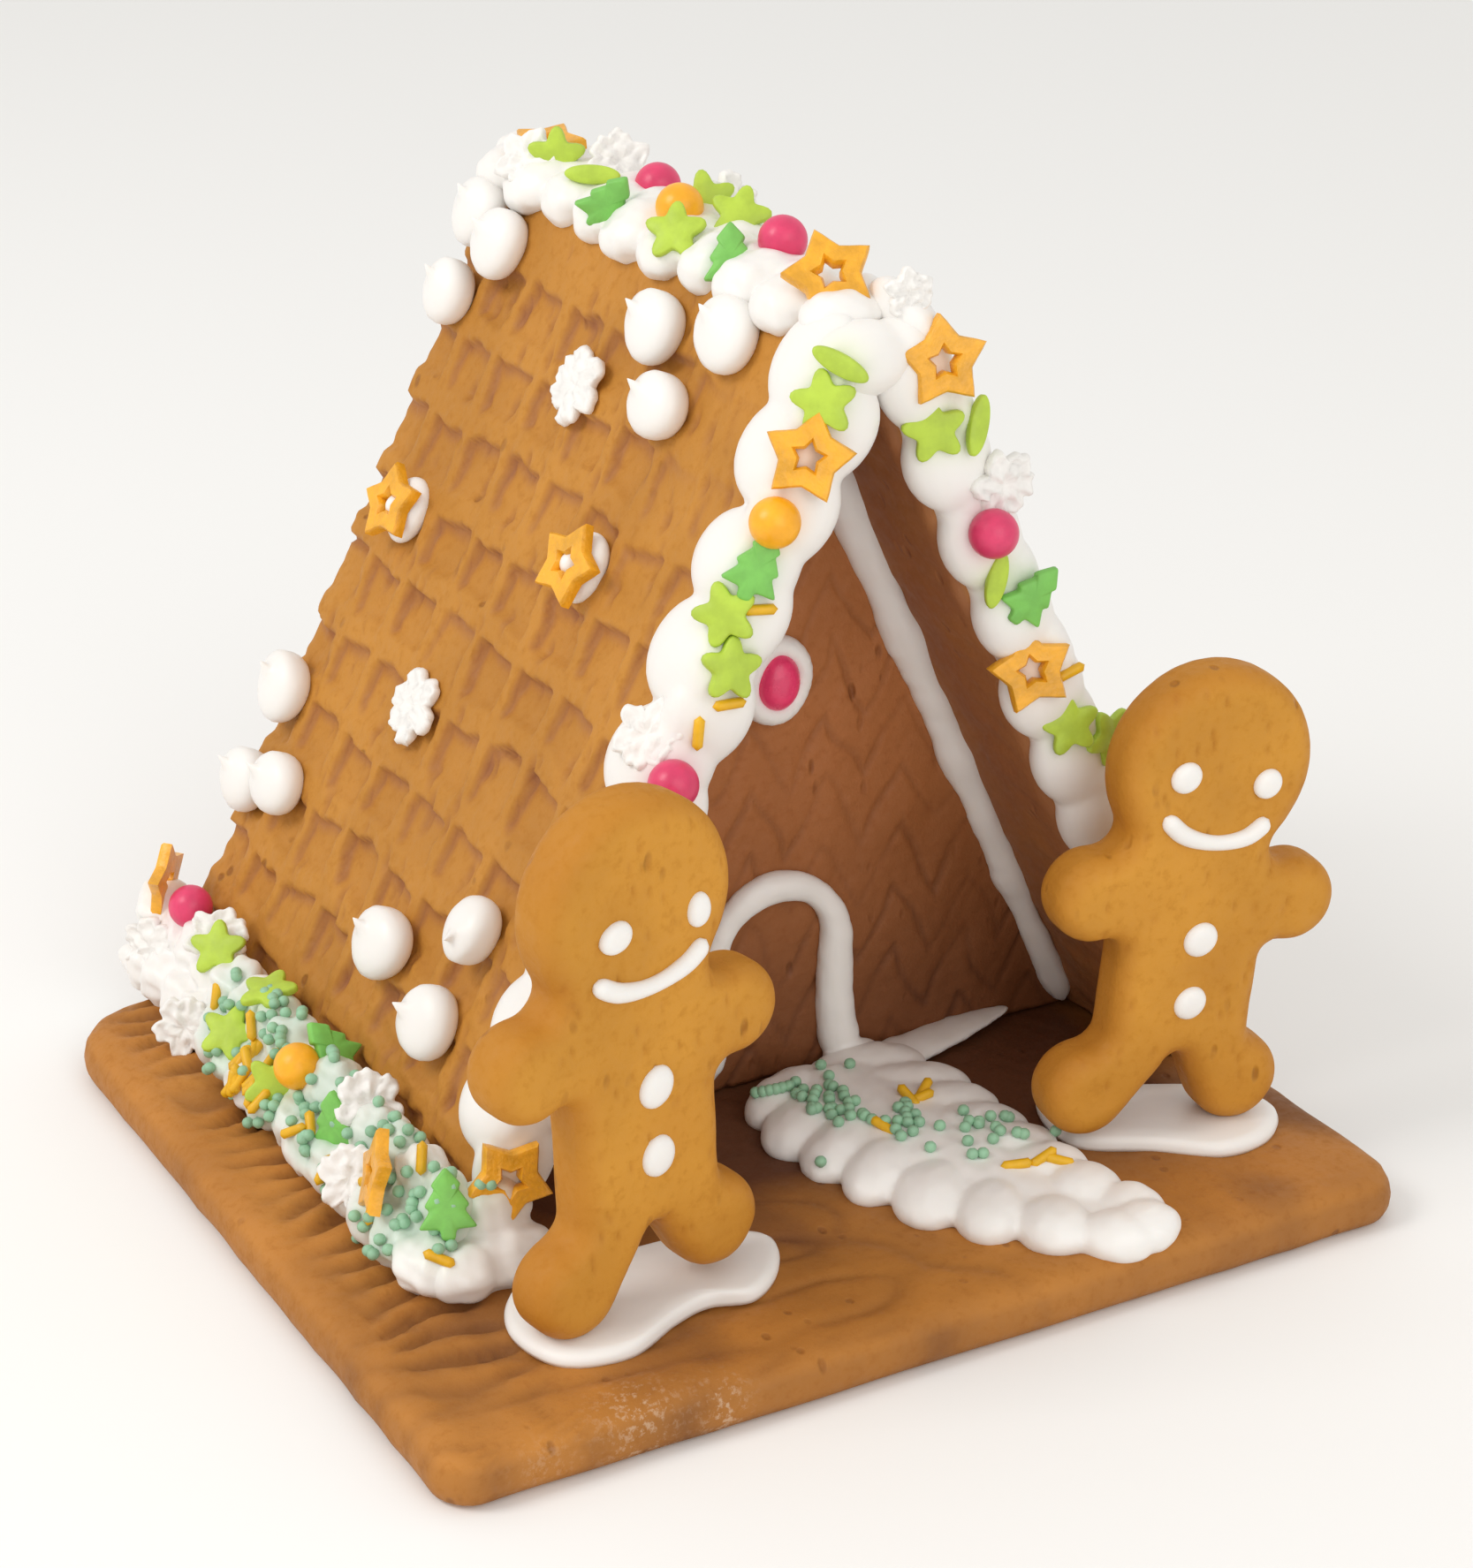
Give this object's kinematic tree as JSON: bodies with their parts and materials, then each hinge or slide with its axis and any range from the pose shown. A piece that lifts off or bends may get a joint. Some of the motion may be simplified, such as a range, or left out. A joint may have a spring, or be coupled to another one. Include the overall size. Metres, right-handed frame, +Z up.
{
  "type": "gingerbread house",
  "caption": "A-frame gingerbread house with a waffle-patterned roof, an open porch, a piped icing path and two gingerbread men, on its own biscuit board.",
  "frame": {"origin": "middle of the board's flat underside, on the table", "axes": "+Z up, -Y out of the porch, +X to the right of someone who looks into the porch; the ridge runs along Y"},
  "size_m": [0.1579, 0.1525, 0.1469],
  "materials": {
    "board": "matte",
    "roof": "matte",
    "wall": "matte",
    "man": "matte",
    "icing": "satin",
    "pink": "satin",
    "orange": "satin",
    "gold": "satin"
  },
  "bodies": {
    "root": {"ball_edge_1": "orange", "ball_edge_2": "pink", "ball_edge_3": "pink", "ball_foot_1": "pink", "ball_foot_2": "orange", "ball_ridge_1": "pink", "ball_ridge_2": "orange", "ball_ridge_3": "pink", "board": "board", "corner_icing_left": "icing", "door_icing": "icing", "drop_left_1": "icing", "drop_left_10": "icing", "drop_left_11": "icing", "drop_left_12": "icing", "drop_left_2": "icing", "drop_left_3": "icing", "drop_left_4": "icing", "drop_left_5": "icing", "drop_left_6": "icing", "drop_left_7": "icing", "drop_left_8": "icing", "drop_left_9": "icing", "drop_right_1": "icing", "drop_right_2": "icing", "drop_right_3": "icing", "drop_right_4": "icing", "edge_icing_left": "icing", "edge_icing_right": "icing", "foot_icing_left": "icing", "foot_icing_right": "icing", "gable_icing": "icing", "man_left": "man", "man_right": "man", "path_icing": "icing", "puddle_left": "icing", "puddle_right": "icing", "ridge_icing": "icing", "roof_left": "roof", "roof_right": "roof", "seam_icing_left": "icing", "seam_icing_right": "icing", "snowflake_1": "icing", "snowflake_2": "icing", "star_corner": "gold", "star_dab_1": "icing", "star_dab_2": "icing", "star_edge_1": "gold", "star_edge_2": "gold", "star_edge_3": "gold", "star_foot_1": "gold", "star_foot_2": "gold", "star_ridge": "gold", "star_roof_1": "gold", "star_roof_2": "gold", "wall_back": "wall", "wall_front": "wall", "window_button": "pink", "window_icing": "icing"}
  },
  "joints": []
}
